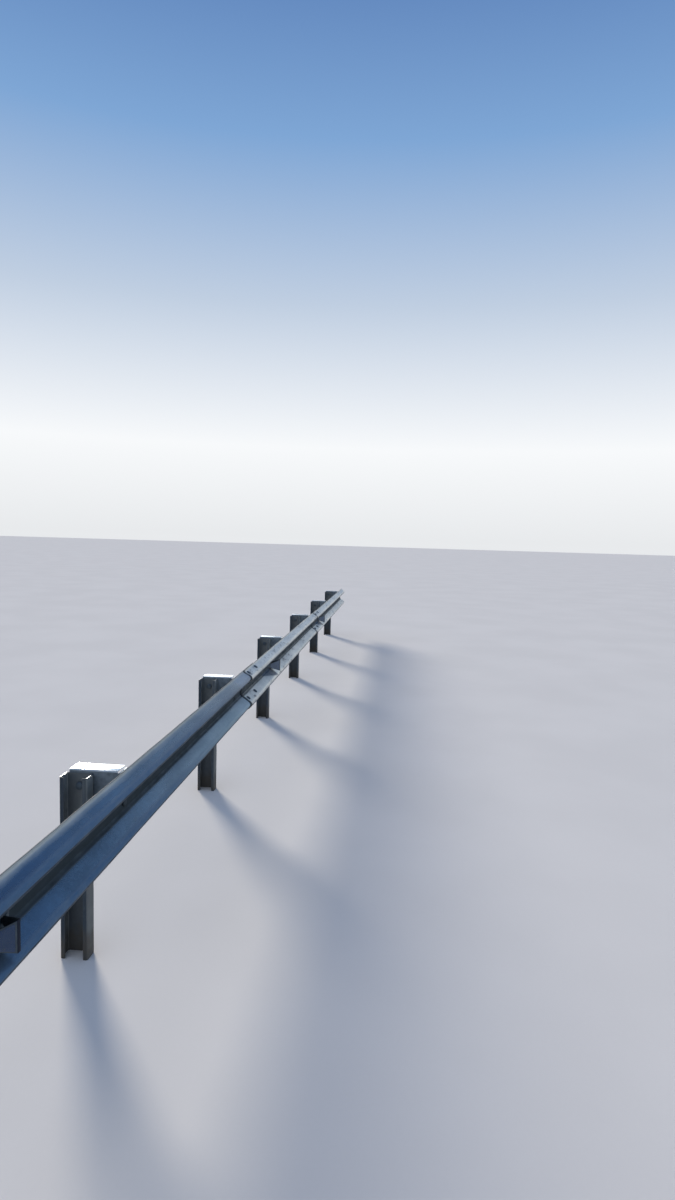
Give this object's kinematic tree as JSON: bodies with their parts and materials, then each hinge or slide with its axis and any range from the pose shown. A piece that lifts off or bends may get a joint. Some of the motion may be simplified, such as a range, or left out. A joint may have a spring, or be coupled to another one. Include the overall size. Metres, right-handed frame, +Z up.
{
  "type": "highway guardrail section",
  "caption": "Straight run of a galvanised W-beam road barrier: lapped steel beams on folded spacer brackets and lipped channel posts, with small reflectors in the valley.",
  "frame": {"origin": "on the ground, in the middle of the web of the first post", "axes": "+X along the barrier away from its near end, the traffic side faces -Y, +Z up"},
  "size_m": [12.7202, 0.3325, 0.81],
  "materials": {
    "beam_zinc": "new hot-dip galvanised sheet, semi-gloss with a fine spangle",
    "post_zinc": "hot-dip galvanised section, duller and darker than the beam",
    "bracket_zinc": "hot-dip galvanised folded sheet, semi-gloss",
    "reflector_sheet": "galvanised sheet faced with pale retroreflective film"
  },
  "bodies": {
    "root": {"post_1": "post_zinc", "post_2": "post_zinc", "post_3": "post_zinc", "post_4": "post_zinc", "post_5": "post_zinc", "post_6": "post_zinc", "post_7": "post_zinc", "bracket_1": "bracket_zinc", "bracket_2": "bracket_zinc", "bracket_3": "bracket_zinc", "bracket_4": "bracket_zinc", "bracket_5": "bracket_zinc", "bracket_6": "bracket_zinc", "bracket_7": "bracket_zinc", "beam_near": "beam_zinc", "beam_1": "beam_zinc", "beam_2": "beam_zinc", "beam_far": "beam_zinc", "reflector_1": "reflector_sheet", "reflector_2": "reflector_sheet", "reflector_3": "reflector_sheet"}
  },
  "joints": []
}
